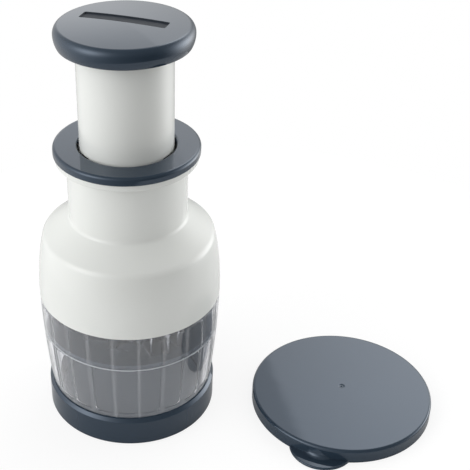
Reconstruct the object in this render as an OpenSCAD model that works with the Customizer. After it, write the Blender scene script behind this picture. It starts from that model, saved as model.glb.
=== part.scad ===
// Manual food chopper: press the knob and a turning zigzag blade set drops through a clear cup.
// Millimetres, +Z up. The origin is on the chopper's own axis, at the level of the table.

/* [Base] */
// Diameter of the base cap
base_d = 92; // [88:0.5:98]
// Height of the base cap's rim above the table
base_h = 16.8; // [14:0.1:20]
// How far the bevel of the rim reaches in
base_bevel = 1.5; // [0.8:0.1:1.9]
// Height of that bevel
base_bevel_h = 1.8; // [1.4:0.1:6]
// Wall between the base cap's outside and the cup's foot
base_wall = 2.6; // [2.2:0.1:3.2]
// Thickness of the base floor
base_floor = 2.8; // [2:0.1:4]
// Rounding of the base cap's lower edge
base_round = 0.6; // [0.3:0.1:1.4]
// Diameter of the non-slip pad underneath
foot_d = 76; // [50:1:80]
// Thickness of the non-slip pad
foot_t = 1.6; // [1.2:0.1:2.4]
// How far the pad stands proud of the base
foot_proud = 0.3; // [0.2:0.1:0.8]
// Thickness of the cutting board
board_t = 3.2; // [2.4:0.1:4.5]
// Width of the low wall that holds the board
board_ring_w = 0.9; // [0.8:0.1:1.2]
// Height of that low wall
board_ring_h = 2; // [1:0.1:2.4]

/* [Clear cup] */
// How far the seam with the housing stands out past the base
cup_flare = 2.2; // [1.4:0.1:4]
// Height of the seam between cup and housing
seam_h = 72.8; // [68:0.1:80]
// Exponent of the cup's curved flank
cup_curve = 1.7; // [1.2:0.1:2.4]
// Wall of the cup below its inner ledge
cup_wall = 3.2; // [2.8:0.1:3.6]
// Height over which the cup's foot widens into that wall
foot_slope = 0.9; // [0.6:0.1:1.6]
// Height of the inner ledge
ledge_h = 51; // [48:0.1:54]
// Wall of the rim that plugs into the housing
spigot_wall = 1.2; // [1:0.1:1.4]
// Height of that rim above the seam
spigot_h = 7.4; // [5:0.1:10]
// Wall of the cup's foot inside the base
foot_wall = 1.6; // [1.2:0.1:1.6]
// Number of vertical ribs inside the cup
rib_n = 22; // [12:1:26]
// Width of a rib
rib_w = 2.6; // [1.6:0.1:3.2]
// How far a rib stands inward
rib_t = 0.7; // [0.5:0.1:1]
// Distance from the base's rim up to the ribs
rib_start = 3; // [1:0.1:6]
// Distance from the ribs up to the ledge
rib_end = 1.2; // [1:0.1:6]
// Angle of the first rib, from +X
rib_turn = 15; // [0:0.1:20]

/* [Housing] */
// Wall of the housing
housing_wall = 2.2; // [1.8:0.1:2.4]
// Wall of the housing's lower rim, outside the cup's spigot
rim_wall = 1.3; // [1.1:0.1:1.4]
// Height of the straight band above the seam
rim_band = 2.2; // [1:0.1:4]
// How far that band stands out past the cup
rim_out = 0.1; // [0:0.05:0.3]
// Exponent of the housing's crowned flank
crown_curve = 2.2; // [1.6:0.1:3]
// How far the shoulder's edge lies inside the seam
shoulder_in = 3.5; // [2.5:0.1:4.5]
// Height of the sloping shoulder
shoulder_rise = 10; // [8:0.1:13]
// Rounding of the shoulder's edge
shoulder_round = 3; // [1:0.1:4]
// Fillet between shoulder and neck
neck_fillet = 2.2; // [1:0.1:4]
// Length of the neck from the shoulder to the collar
neck_l = 36; // [32:0.1:40]
// How far the flange under the collar stands out past the neck
flange_w = 5.4; // [4:0.1:6.5]
// Thickness of that flange
flange_t = 3.4; // [2:0.1:4]

/* [Collar] */
// How far the collar stands out past the flange
collar_over = 0.95; // [0.5:0.05:3]
// Thickness of the collar
collar_t = 4.3; // [3.6:0.1:6]
// Rounding of the collar's outer edge
collar_round = 1.6; // [0.6:0.1:2]
// Rounding of the edge of its hole
collar_lip = 1; // [0.4:0.1:1.6]
// Gap between the plunger tube and the collar's hole
collar_gap = 1.15; // [0.6:0.05:1.6]
// How far the collar plugs into the neck
collar_skirt = 3.2; // [2:0.1:5]

/* [Plunger] */
// Radius of the plunger tube
tube_r = 23.65; // [23:0.05:24.2]
// Wall of the plunger tube
tube_wall = 1.8; // [1.4:0.1:2.2]
// How much the tube's top end flares out
tube_flare = 0.9; // [0.3:0.1:1.4]
// Height of that flare
tube_flare_h = 3; // [2:0.1:5]
// Height of the hooks at the tube's lower end
hook_t = 3; // [2.4:0.1:4]
// How far the hooks reach under the guide bush
hook_out = 1.6; // [1:0.1:2.2]
// Room for the guide bush between tube and neck
bush_t = 4.4; // [3.6:0.1:5]
// Height from the shoulder's top to the guide bush
bush_rise = 9; // [7:0.1:12]
// Height of each land of the guide bush
bush_land = 4; // [3:0.1:6]
// Wall of the bush between its lands
bush_wall = 1.8; // [1.4:0.1:2.4]
// Radius of the knob
knob_r = 33.6; // [31:0.1:37]
// Thickness of the knob at the rim of its top face
knob_t = 9.7; // [8.6:0.1:12]
// Rise of the knob's top face from its rim to its middle
knob_crown = 1.0; // [0:0.1:2]
// Width of the rounding from the rim of the top face out to the knob's widest level
knob_round = 3.1; // [1.5:0.1:3.6]
// Height of the knob's widest level above its lower edge
belly_h = 5.6; // [4:0.1:5.8]
// How much the knob's side draws in from there to its lower edge
knob_taper = 1.4; // [0:0.1:1.8]
// Wall of the knob cap round its plate
cap_lip = 1.2; // [1:0.1:1.6]
// Wall of the knob cap
knob_wall = 2.2; // [1.8:0.1:2.6]
// Width of the ledge in the cap that stops its plate
cap_ledge = 0.8; // [0.5:0.1:1.2]
// Gap left between knob and collar at full press
press_gap = 7.1; // [5:0.1:12]
// Thickness of the plate that closes the knob
plate_t = 2.2; // [1.8:0.1:2.6]
// Length of the shallow bar sunk into the knob's top
bar_l = 43; // [20:1:48]
// Width of that bar
bar_w = 7.6; // [5:0.2:10]
// Depth of that bar below the middle of the crowned top face
bar_depth = 1.1; // [0.3:0.1:1.4]
// How far the bar lies off the knob's centre
bar_off = 3.2; // [0:0.1:8]
// How far the bar is shifted along its length
bar_shift = -1.3; // [-5:0.1:5]
// Angle of the bar
bar_angle = -20; // [-90:1:90]

/* [Drive] */
// Travel left between the blade tips and the board at full press
tip_gap = 0.7; // [0.4:0.1:1.5]
// Angle that the blades turn in one press
index_angle = 30; // [10:1:45]
// Width of the twisted drive bar
drive_w = 9; // [7:0.1:10]
// Thickness of the twisted drive bar
drive_t = 3.6; // [2.8:0.1:4.4]
// How far the bar reaches past the bridge at full press
drive_spare = 1.5; // [1:0.1:3]
// Radius of the round shaft above the drive bar
shaft_r = 4; // [3.4:0.1:4.4]
// Wall of the twist nut round the drive bar's corners
twist_wall = 2.5; // [2:0.1:3.5]
// Thickness of the bridge across the housing
bridge_t = 3; // [2.4:0.1:3.6]
// How far the bridge's underside lies above the shoulder's edge
bridge_rise = 0.2; // [0:0.1:1]
// Width of a bridge arm
arm_w = 7; // [5:0.1:9]
// Width of the bridge's hub outside the spring
hub_edge = 1.6; // [1.2:0.1:3]
// How far the bridge's screws lie outside the neck's radius
boss_out = 1.9; // [1.4:0.1:2.4]
// Radius of the screw bosses
boss_r = 3.1; // [2.6:0.1:3.4]
// Length of the screw bosses in the tube
tube_boss_l = 12; // [9:0.5:16]
// Wire diameter of the return spring
spring_wire = 1.8; // [1.2:0.1:2.2]
// Room between the spring and the tube's screw bosses
spring_room = 1.85; // [1.2:0.05:2.6]
// Turns of the return spring
spring_turns = 10; // [6:1:14]
// How far the spring's seat hangs below the knob
hub_drop = 6; // [4:0.1:9]
// Height of the pilots that centre the spring
pilot_h = 1.5; // [1:0.1:2]

/* [Blades] */
// Thickness of a blade strip
blade_t = 0.8; // [0.5:0.1:1.2]
// Clearance between the blades and the cup's ribs
blade_gap = 3.4; // [2.4:0.1:6]
// Inner radius of the zigzag
blade_in = 14; // [12:0.1:18]
// Angle between neighbouring folds
fold_angle = 16; // [14:0.5:17]
// Folds on each side of a strip's middle
fold_n = 3; // [2:1:3]
// How deep a strip sits in the carrier
blade_root = 2.6; // [1.5:0.1:3.2]
// Thickness of the blade carrier
carrier_t = 4.5; // [4:0.1:5]
// Clearance between the carrier and the housing
carrier_gap = 0.5; // [0.4:0.1:1.2]
// Height left between carrier and wiper plate at full press
carrier_stop = 2.2; // [1.5:0.1:4]
// Thickness of the wiper plate
wiper_t = 3; // [2.4:0.1:4]
// How far the blade tips stay inside the wiper plate's slots at rest
tip_sunk = 1; // [0.4:0.1:1.6]
// How far the wiper's pins stand inside the carrier's edge
pin_inset = 3.4; // [3.2:0.1:3.8]
// Radius of a wiper pin
pin_r = 1.5; // [1.2:0.1:1.6]
// How far a pin's head stands out past its stem
pin_head = 0.9; // [0.7:0.1:1]
// Thickness of a pin's head
pin_head_t = 1.7; // [1.2:0.1:2.4]

/* [Lid] */
// Gap between the cup's widest place and the lid, along X
lid_gap = 20.1; // [6:0.1:60]
// Where the lid lies beside the chopper, along Y
lid_y = -10.2; // [-60:0.1:60]
// Wall of the lid's skirt
lid_wall = 1.4; // [1.2:0.1:2]
// Height of the lid
lid_h = 8; // [6:0.1:10]
// Thickness of the lid's top
lid_top_t = 1.7; // [1.4:0.1:1.9]
// Rounding of the lid's top edge
lid_round = 1.6; // [0.8:0.1:2.8]
// How far up inside the lid its plug ring starts
plug_low = 1.5; // [0.5:0.1:3]
// Radius of the thumb tab
tab_r = 17.4; // [14:0.1:20]
// How far the tab's centre lies inside the lid's edge
tab_in = 8.8; // [6:0.1:12]
// Direction of the tab, from +X
tab_angle = 248.3; // [0:0.1:360]
// Thickness of the tab at its lip
tab_t = 1.6; // [1.2:0.1:2.4]

/* [Fits] */
// Clearance between pieces that come apart by hand
hand_gap = 0.35; // [0.3:0.05:0.45]
// Clearance between fixed pieces
fit_gap = 0.05; // [0.02:0.01:0.1]
// Radial running clearance of the round shaft
run_gap = 0.08; // [0.03:0.01:0.1]
// Vertical clearance between faces that turn on each other
turn_gap = 0.1; // [0.05:0.01:0.2]
// Clearance around moving pieces that pass through slots
slot_gap = 0.5; // [0.3:0.05:0.7]
// Vertical clearance where a moving piece rests at a stop
stop_gap = 0.3; // [0.2:0.05:0.4]
// Clearance between the lid and the cup's rim
lid_play = 0.2; // [0.1:0.05:0.4]
// Clearance of a screw's stem in the piece that it holds
screw_play = 0.3; // [0.1:0.05:0.5]
// Radius of the screws' stems
screw_r = 1.2; // [1:0.1:1.5]
// Radius of the screws' heads
screw_head_r = 2.5; // [2:0.1:3]
// Thickness of the screws' heads
screw_head_t = 1.6; // [1.2:0.1:2]
// How deep a bridge screw reaches into its boss
bridge_screw_l = 3; // [2:0.1:3.4]
// How deep a tube screw reaches into its boss
tube_screw_l = 7; // [5:0.1:8]
// Rounding of small moulded edges
edge_round = 0.4; // [0.2:0.1:0.6]

/* [Hidden] */
$fn = 96;

slate = [0.40, 0.44, 0.48];
white = [0.90, 0.91, 0.89];
clear = [0.80, 0.86, 0.88, 0.35];
steel = [0.78, 0.79, 0.80];
dark_rubber = [0.16, 0.17, 0.18];

// Overshoot of cuts, and how far joined features reach into each other
over = 1;
sunk = 0.8;
arm_angles = [90, 210, 330];
pin_angles = [60, 180, 300];
blade_angles = [0, 120, 240];

// Base, from the table up and from the outside in
base_r = base_d / 2;
base_in = base_r - base_wall;
floor_top = foot_t + base_floor;
board_top = floor_top + board_t;
foot_out = base_in - hand_gap;
foot_in = foot_out - foot_wall;
ring_out = foot_in - hand_gap;
board_r = ring_out - board_ring_w - hand_gap;

// Cup, whose lower edge lines up with the rim of the base
seam_r = base_r + cup_flare;
cup_low = base_h + stop_gap + foot_slope;
cup_low_r = base_r - base_bevel;
spigot_out = seam_r - rim_wall - hand_gap;
spigot_in = spigot_out - spigot_wall;
spigot_top = seam_h + spigot_h;

// Blade head, from the ledge up: the stroke ends with the tips above the board
wiper_low = ledge_h + stop_gap;
wiper_top = wiper_low + wiper_t;
wiper_r = spigot_in - hand_gap;
tip_h = wiper_top - tip_sunk;
stroke = tip_h - board_top - tip_gap;
carrier_low = wiper_top + stroke + carrier_stop;
carrier_top = carrier_low + carrier_t;
blade_out = cup_low_r - cup_wall - rib_t - blade_gap;
pin_top = carrier_top + stop_gap;
bridge_low = pin_top + pin_head_t + sunk;
bridge_top = bridge_low + bridge_t;

// Housing and collar, over the bridge
shoulder_r = seam_r - shoulder_in;
shoulder_h = bridge_low - bridge_rise;
neck_h = shoulder_h + shoulder_rise;
neck_in = tube_r + hand_gap + bush_t;
neck_r = neck_in + housing_wall;
flange_top = neck_h + neck_l;
flange_r = neck_r + flange_w;
collar_r = flange_r + collar_over;
collar_top = flange_top + collar_t;
carrier_r = shoulder_r - housing_wall - carrier_gap;
pin_circle = carrier_r - pin_inset;
bridge_screw_r = neck_r + boss_out;

// Plunger, over the collar
bush_r = tube_r + hand_gap;
bush_low = neck_h + bush_rise;
bush_top = flange_top - collar_skirt - stop_gap;
hook_r = bush_r + hook_out;
tube_low = bush_low - stop_gap - hook_t;
tube_in = tube_r - tube_wall;
knob_low = collar_top + stroke + press_gap;
rim_top = knob_low + knob_t;
knob_top = rim_top + knob_crown;
knob_rim = knob_r - knob_round;
knob_steps = 7;
plate_top = knob_low + plate_t;
cap_in = knob_r - knob_taper - cap_lip;
seat_h = knob_low - hub_drop;
pilot_low = seat_h - pilot_h;
tube_screw_r = tube_in - boss_r + 0.6;
spring_r = tube_screw_r - boss_r - spring_room - spring_wire / 2;
spring_gap = 0.3;
hub_r = spring_r + spring_wire / 2 + hub_edge;

// Drive bar and shaft
drive_top = bridge_top + stroke + drive_spare;
slot_top = drive_top - stop_gap;
shaft_end = 3.2;
clip_t = 1;
clip_deep = 0.8;
clip_low = plate_top + 0.15;
stud_r = shaft_r - 1;
nut_r = shaft_r + 2.2;
nut_h = 4;
washer_r = shaft_r + 3.6;
shaft_collar_w = 3;
shaft_collar_t = 2.9;
shaft_flange_t = 1.6;
clip_mouth = 3.2;
twist_r = drive_w / 2 + twist_wall;

// The lid's skirt goes over the same rim as the housing's
lid_in = seam_r + lid_play;
lid_r = lid_in + lid_wall;
lid_x = seam_r + lid_gap + lid_r;
plug_r = spigot_in - lid_play;
tab_reach = lid_r - tab_in;

// Corner b between a and c, rounded with radius r
function unit2(v) = v / norm(v);
function corner(a, b, c, r, n = 6) =
    r <= 0 ? [b] :
    let (u = unit2(a - b), v = unit2(c - b),
         half = acos(max(-1, min(1, u * v))) / 2,
         m = b + unit2(u + v) * r / sin(half),
         p = b + u * r / tan(half) - m, q = b + v * r / tan(half) - m,
         start = atan2(p[1], p[0]), turn = atan2(q[1], q[0]) - start,
         way = turn > 180 ? turn - 360 : turn < -180 ? turn + 360 : turn)
    [for (i = [0:n]) m + r * [cos(start + way * i / n), sin(start + way * i / n)]];

// Outline from corners [x, y, radius]
function rounded(k) = let (n = len(k))
    [for (i = [0:n - 1])
        let (a = k[(i + n - 1) % n], b = k[i], c = k[(i + 1) % n])
        each corner([a[0], a[1]], [b[0], b[1]], [c[0], c[1]], b[2])];

module turned(k) { rotate_extrude() polygon(rounded(k)); }
module disc(r, low, high) { translate([0, 0, low]) cylinder(r = r, h = high - low); }
module ring(r_out, r_in, low, high) {
    difference() { disc(r_out, low, high); disc(r_in, low - over, high + over); }
}
module around(angles, r) { for (a = angles) rotate(a) translate([r, 0, 0]) children(); }

// A pan-head screw that points down, with its head on level z
module screw_down(z, length) {
    disc(screw_head_r, z, z + screw_head_t);
    disc(screw_r, z - length, z + screw_head_t / 2);
}

// Flanks of cup and housing as smooth curves of height, in straight steps
function cup_at(z) = seam_r
    - (seam_r - cup_low_r) * pow(max(0, seam_h - z) / (seam_h - cup_low), cup_curve);
crown_low = seam_h + rim_band;
rim_r = seam_r + rim_out;
function crown_at(z) = rim_r
    - (rim_r - shoulder_r) * pow(max(0, z - crown_low) / (shoulder_h - crown_low), crown_curve);
crown_end = shoulder_h - shoulder_round;
cup_steps = 8;
crown_steps = 7;
function step(low, high, i, n) = low + (high - low) * i / n;

// Sloping inside of the shoulder, one wall under its outside
slope = shoulder_rise / (shoulder_r - neck_r);
function under_shoulder(r) = shoulder_h + slope * (shoulder_r - r)
    - housing_wall * sqrt(1 + slope * slope);

module base_cap() {
    color(slate) difference() {
        turned([[0, foot_proud, 0], [base_r, foot_proud, base_round],
                [base_r, base_h - base_bevel_h, base_round], [base_r - base_bevel, base_h, edge_round],
                [base_in, base_h, edge_round], [base_in, floor_top, 0], [ring_out, floor_top, 0],
                [ring_out, floor_top + board_ring_h, edge_round / 2],
                [ring_out - board_ring_w, floor_top + board_ring_h, edge_round / 2],
                [ring_out - board_ring_w, floor_top, 0], [0, floor_top, 0]]);
        disc(foot_d / 2 + fit_gap, -over, foot_t);
    }
}

module cutting_board() {
    color(slate) turned([[0, floor_top, 0], [board_r, floor_top, 0],
                         [board_r, board_top, edge_round], [0, board_top, 0]]);
}

module foot_pad() {
    color(dark_rubber) disc(foot_d / 2, 0, foot_t);
}

// Outside from the foot up, then inside from the spigot down
module clear_cup() {
    rib_low = base_h + rib_start;
    rib_high = ledge_h - rib_end;
    lean = atan((cup_at(rib_high) - cup_at(rib_low)) / (rib_high - rib_low));
    color(clear) {
        rotate_extrude() polygon(concat(
            [[foot_in, floor_top + stop_gap], [foot_out, floor_top + stop_gap],
             [foot_out, base_h + stop_gap]],
            [for (i = [0:cup_steps]) let (z = step(cup_low, seam_h, i, cup_steps)) [cup_at(z), z]],
            [[spigot_out, seam_h], [spigot_out, spigot_top], [spigot_in, spigot_top],
             [spigot_in, ledge_h]],
            [for (i = [0:cup_steps]) let (z = step(ledge_h, cup_low, i, cup_steps))
                [max(foot_in, cup_at(z) - cup_wall), z]]));
        for (i = [0:rib_n - 1]) rotate(rib_turn + i * 360 / rib_n)
            translate([cup_at(rib_low) - cup_wall - rib_t, -rib_w / 2, rib_low])
                rotate([0, lean, 0]) cube([rib_t + cup_wall / 2, rib_w, rib_high - rib_low]);
    }
}

module housing() {
    boss_in = bridge_screw_r - boss_r - over;
    chamfer_top = spigot_top + housing_wall;
    color(white) difference() {
        union() {
            difference() {
                rotate_extrude() polygon(concat(
                    [[seam_r, seam_h]],
                    [for (i = [0:crown_steps])
                        let (z = step(crown_low, crown_end, i, crown_steps)) [crown_at(z), z]],
                    corner([crown_at(crown_end), crown_end], [shoulder_r, shoulder_h],
                           [neck_r, neck_h], shoulder_round),
                    corner([shoulder_r, shoulder_h], [neck_r, neck_h], [neck_r, flange_top], neck_fillet),
                    corner([neck_r, neck_h], [neck_r, flange_top - flange_t],
                           [flange_r, flange_top - flange_t], edge_round),
                    corner([neck_r, flange_top - flange_t], [flange_r, flange_top - flange_t],
                           [flange_r, flange_top], edge_round),
                    [[flange_r, flange_top], [0, flange_top], [0, seam_h]]));
                rotate_extrude() polygon(concat(
                    [[0, seam_h - over], [seam_r - rim_wall, seam_h - over],
                     [seam_r - rim_wall, spigot_top + stop_gap]],
                    [for (i = [0:crown_steps - 1])
                        let (z = step(chamfer_top, crown_end, i, crown_steps - 1))
                        [crown_at(z) - housing_wall, z]],
                    [[shoulder_r - housing_wall, under_shoulder(shoulder_r - housing_wall)],
                     [neck_in, under_shoulder(neck_in)], [neck_in, flange_top + over],
                     [0, flange_top + over]]));
            }
            // Bosses that carry the bridge, trimmed to the inside of the shoulder
            intersection() {
                around(arm_angles, bridge_screw_r) disc(boss_r, bridge_top, neck_h);
                rotate_extrude() polygon([
                    [boss_in, bridge_top], [shoulder_r, bridge_top],
                    [shoulder_r, under_shoulder(shoulder_r) + sunk],
                    [boss_in, under_shoulder(boss_in) + sunk]]);
            }
        }
        around(arm_angles, bridge_screw_r)
            disc(screw_r + fit_gap, bridge_top - over, bridge_top + bridge_screw_l + stop_gap);
    }
}

module collar_ring() {
    hole = tube_r + collar_gap;
    skirt_out = neck_in - fit_gap;
    color(slate) turned([
        [hole, flange_top - collar_skirt, 0], [skirt_out, flange_top - collar_skirt, 0],
        [skirt_out, flange_top, 0], [collar_r, flange_top, edge_round],
        [collar_r, collar_top, collar_round], [hole, collar_top, collar_lip]]);
}

// Two lands hold the bush in the neck, and its sleeve guides the tube
module guide_bush() {
    sleeve = bush_r + bush_wall;
    out = neck_in - fit_gap;
    color(white) turned([
        [bush_r, bush_low, 0], [out, bush_low, 0], [out, bush_low + bush_land, 0],
        [sleeve, bush_low + bush_land, 0], [sleeve, bush_top - bush_land, 0],
        [out, bush_top - bush_land, 0], [out, bush_top, 0], [bush_r, bush_top, edge_round]]);
}

module plunger_tube() {
    boss_low = knob_low - tube_boss_l;
    lead = hook_t / 2;
    color(white) difference() {
        union() {
            turned([[tube_in, tube_low, 0], [hook_r - hook_out - sunk, tube_low, 0],
                    [hook_r, tube_low + lead, 0], [hook_r, tube_low + hook_t, 0],
                    [tube_r, tube_low + hook_t, 0], [tube_r, knob_low - tube_flare_h, 0],
                    [tube_r + tube_flare, knob_low - sunk, 0],
                    [tube_r + tube_flare, knob_low, 0], [tube_in, knob_low, 0]]);
            intersection() {
                around(arm_angles, tube_screw_r) disc(boss_r, boss_low, knob_low);
                disc(tube_in + sunk, boss_low, knob_low);
            }
        }
        around(arm_angles, tube_screw_r)
            disc(screw_r + fit_gap, knob_low - tube_screw_l - over, knob_low + over);
        for (a = arm_angles) rotate(a)
            translate([tube_in / 2, -arm_w / 2 - slot_gap, tube_low - over])
                cube([tube_r, arm_w + 2 * slot_gap, slot_top - tube_low + over]);
    }
}

// Its hub seats the spring from above, and a pilot inside the spring holds the thrust washer
module knob_plate() {
    color(slate) difference() {
        union() {
            disc(cap_in - fit_gap, knob_low, plate_top);
            disc(spring_r - spring_wire / 2 - spring_gap, pilot_low, knob_low);
            disc(spring_r + spring_wire / 2 + spring_gap, seat_h, knob_low);
        }
        disc(shaft_r + run_gap, pilot_low - over, plate_top + over);
        disc(washer_r + over, pilot_low - over, pilot_low + pilot_h);
        around(arm_angles, tube_screw_r) disc(screw_r + screw_play, knob_low - over, plate_top + over);
    }
}

// Side of the knob: drawn in below its widest level, an elliptic quarter above it
function knob_under(t) = [knob_r - knob_taper * pow(1 - t, 2), knob_low + belly_h * t, 0];
function knob_over(a) = [knob_rim + knob_round * cos(a), knob_low + belly_h + (knob_t - belly_h) * sin(a), 0];
// Top face, crowned by knob_crown, at the share t of its radius
function knob_face(t) = [knob_rim * t, knob_top - knob_crown * t * t, 0];

module knob_cap() {
    roof = rim_top - knob_wall;
    color(slate) difference() {
        turned([[0, knob_low, 0], [knob_r - knob_taper, knob_low, base_round],
                for (i = [2:knob_steps]) knob_under(i / knob_steps),
                for (i = [1:knob_steps]) knob_over(90 * i / knob_steps),
                for (i = [knob_steps - 1:-1:0]) knob_face(i / knob_steps)]);
        disc(cap_in, knob_low - over, plate_top);
        turned([[0, plate_top - over, 0], [cap_in - cap_ledge, plate_top - over, 0],
                [cap_in - cap_ledge, roof, knob_round / 2], [0, roof, 0]]);
        rotate(bar_angle) translate([bar_shift - bar_l / 2, bar_off - bar_w / 2, knob_top - bar_depth])
            cube([bar_l, bar_w, bar_depth + over]);
    }
}

module tube_screws() {
    color(steel) around(arm_angles, tube_screw_r) screw_down(plate_top, plate_t + tube_screw_l);
}

module thrust_washer() {
    color(white) ring(washer_r, shaft_r + screw_play, pilot_low, pilot_low + pilot_h);
}

// Flat bar that winds through the twist nut, with a round shaft above it
module blade_shaft() {
    rise = drive_top - carrier_top;
    start = index_angle * (bridge_top - bridge_t / 2 - carrier_top) / stroke;
    collar_high = pilot_low - turn_gap;
    color(steel) difference() {
        union() {
            translate([0, 0, carrier_top]) rotate(start)
                linear_extrude(height = rise, twist = index_angle * rise / stroke,
                               slices = 24, segments = 8)
                    square([drive_w, drive_t], center = true);
            disc(drive_w / 2 + over, drive_top, drive_top + shaft_flange_t);
            disc(shaft_r, drive_top, plate_top + shaft_end);
            disc(shaft_r + shaft_collar_w, collar_high - shaft_collar_t, collar_high);
            disc(drive_w / 2 + over, carrier_top, carrier_top + shaft_flange_t);
            disc(stud_r, carrier_low - nut_h - over, carrier_top + over);
        }
        ring(shaft_r + over, shaft_r - clip_deep, clip_low, clip_low + clip_t + turn_gap);
    }
}

module shaft_clip() {
    color(steel) difference() {
        ring(shaft_r + shaft_collar_w, shaft_r - clip_deep + fit_gap, clip_low, clip_low + clip_t);
        translate([0, -clip_mouth / 2, clip_low - over])
            cube([shaft_r + shaft_collar_w + over, clip_mouth, clip_t + 2 * over]);
    }
}

module shaft_nut() {
    color(steel) difference() {
        translate([0, 0, carrier_low - nut_h]) cylinder(r = nut_r, h = nut_h, $fn = 6);
        disc(stud_r + fit_gap, carrier_low - nut_h - over, carrier_low + over);
    }
}

// Three arms reach through the tube's slots to the bosses in the housing
module bridge() {
    color(white) difference() {
        union() {
            disc(hub_r, bridge_low, bridge_top);
            disc(spring_r - spring_wire / 2 - spring_gap, bridge_top, bridge_top + pilot_h);
            for (a = arm_angles) rotate(a) {
                translate([0, -arm_w / 2, bridge_low]) cube([bridge_screw_r, arm_w, bridge_t]);
                translate([bridge_screw_r, 0, bridge_low]) cylinder(d = arm_w, h = bridge_t);
            }
        }
        disc(twist_r + fit_gap, bridge_low - over, bridge_top + pilot_h + over);
        around(arm_angles, bridge_screw_r) disc(screw_r + screw_play, bridge_low - over, bridge_top + over);
    }
}

module twist_nut() {
    color(steel) difference() {
        disc(twist_r, bridge_low, bridge_top);
        translate([0, 0, bridge_low - over]) linear_extrude(height = bridge_t + 2 * over)
            square([drive_w + 2 * slot_gap, drive_t + 2 * slot_gap], center = true);
    }
}

module bridge_screws() {
    color(steel) around(arm_angles, bridge_screw_r)
        translate([0, 0, bridge_low]) mirror([0, 0, 1]) screw_down(0, bridge_t + bridge_screw_l);
}

// Round wire swept along a helix, ring by ring
module return_spring() {
    low = bridge_top + spring_wire / 2;
    high = seat_h - spring_wire / 2;
    turn_steps = 16;
    side = 8;
    rings = spring_turns * turn_steps;
    pts = [for (i = [0:rings])
        let (a = 360 * i / turn_steps, z = step(low, high, i, rings))
        for (j = [0:side - 1])
            let (b = 360 * j / side, r = spring_r + spring_wire / 2 * cos(b))
            [r * cos(a), r * sin(a), z + spring_wire / 2 * sin(b)]];
    sides = [for (i = [0:rings - 1], j = [0:side - 1])
        let (k = (j + 1) % side)
        [i * side + j, i * side + k, (i + 1) * side + k, (i + 1) * side + j]];
    ends = [[for (j = [side - 1:-1:0]) j], [for (j = [0:side - 1]) rings * side + j]];
    color(steel) polyhedron(points = pts, faces = concat(sides, ends));
}

// Zigzag strip seen from above, folding between the inner and the outer radius
function fold(i) = let (r = abs(i) % 2 == fold_n % 2 ? blade_out : blade_in)
    r * [cos(i * fold_angle), sin(i * fold_angle)];
module zigzag(w) {
    for (i = [-fold_n:fold_n - 1])
        let (p = fold(i), q = fold(i + 1), d = q - p)
        translate((p + q) / 2) rotate(atan2(d[1], d[0])) square([norm(d), w], center = true);
    for (i = [-fold_n:fold_n]) translate(fold(i)) circle(d = w, $fn = 24);
}
module blade(turn) {
    color(steel) rotate(turn) translate([0, 0, tip_h])
        linear_extrude(height = carrier_low + blade_root - tip_h) zigzag(blade_t);
}
module blade_1() { blade(blade_angles[0]); }
module blade_2() { blade(blade_angles[1]); }
module blade_3() { blade(blade_angles[2]); }

module blade_carrier() {
    color(white) difference() {
        disc(carrier_r, carrier_low, carrier_top);
        disc(stud_r + fit_gap, carrier_low - over, carrier_top + over);
        around(pin_angles, pin_circle) disc(pin_r + slot_gap, carrier_low - over, carrier_top + over);
        for (turn = blade_angles) rotate(turn) translate([0, 0, carrier_low - over])
            linear_extrude(height = blade_root + over) zigzag(blade_t + 2 * fit_gap);
    }
}

// Its middle is open for the nut under the blade carrier
module wiper_plate() {
    color(slate) difference() {
        ring(wiper_r, nut_r + slot_gap + sunk, wiper_low, wiper_top);
        for (turn = blade_angles) rotate(turn) translate([0, 0, wiper_low - over])
            linear_extrude(height = wiper_t + 2 * over) zigzag(blade_t + 2 * slot_gap);
        around(pin_angles, pin_circle) disc(pin_r + fit_gap, wiper_low + sunk, wiper_top + over);
    }
}

module wiper_pins() {
    color(steel) around(pin_angles, pin_circle) {
        disc(pin_r, wiper_low + sunk, pin_top + pin_head_t / 2);
        disc(pin_r + pin_head, pin_top, pin_top + pin_head_t);
    }
}

// The thumb tab flares down like a cove and ends in a thin lip
module storage_lid() {
    neck = lid_r - tab_reach;
    flare = tab_r - neck;
    rise = lid_h - lid_round - tab_t;
    cove_steps = 8;
    cove = [for (i = [0:cove_steps]) let (t = i / cove_steps)
        [neck + flare * (1 - t), tab_t + rise * pow(t, 3)]];
    color(slate) translate([lid_x, lid_y, 0]) {
        difference() {
            union() {
                turned([[0, 0, 0], [lid_r, 0, edge_round], [lid_r, lid_h, lid_round], [0, lid_h, 0]]);
                rotate(tab_angle) translate([tab_reach, 0, 0]) rotate_extrude()
                    polygon(concat([[0, 0], [tab_r, 0]], cove, [[0, tab_t + rise]]));
            }
            difference() {
                disc(lid_in, -over, lid_h - lid_top_t);
                ring(plug_r, plug_r - lid_wall, plug_low, lid_h);
            }
        }
    }
}

knob_cap();
knob_plate();
plunger_tube();
tube_screws();
thrust_washer();
collar_ring();
housing();
guide_bush();
bridge();
twist_nut();
bridge_screws();
return_spring();
blade_shaft();
shaft_clip();
shaft_nut();
blade_carrier();
blade_1();
blade_2();
blade_3();
wiper_plate();
wiper_pins();
clear_cup();
base_cap();
cutting_board();
foot_pad();
storage_lid();
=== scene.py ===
# Press-down food chopper with its storage lid: the looks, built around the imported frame.
# Sizes in the dictionaries are millimetres; meshes are written in metres, at the origin.
from math import cos, pi, radians, sin

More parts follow.
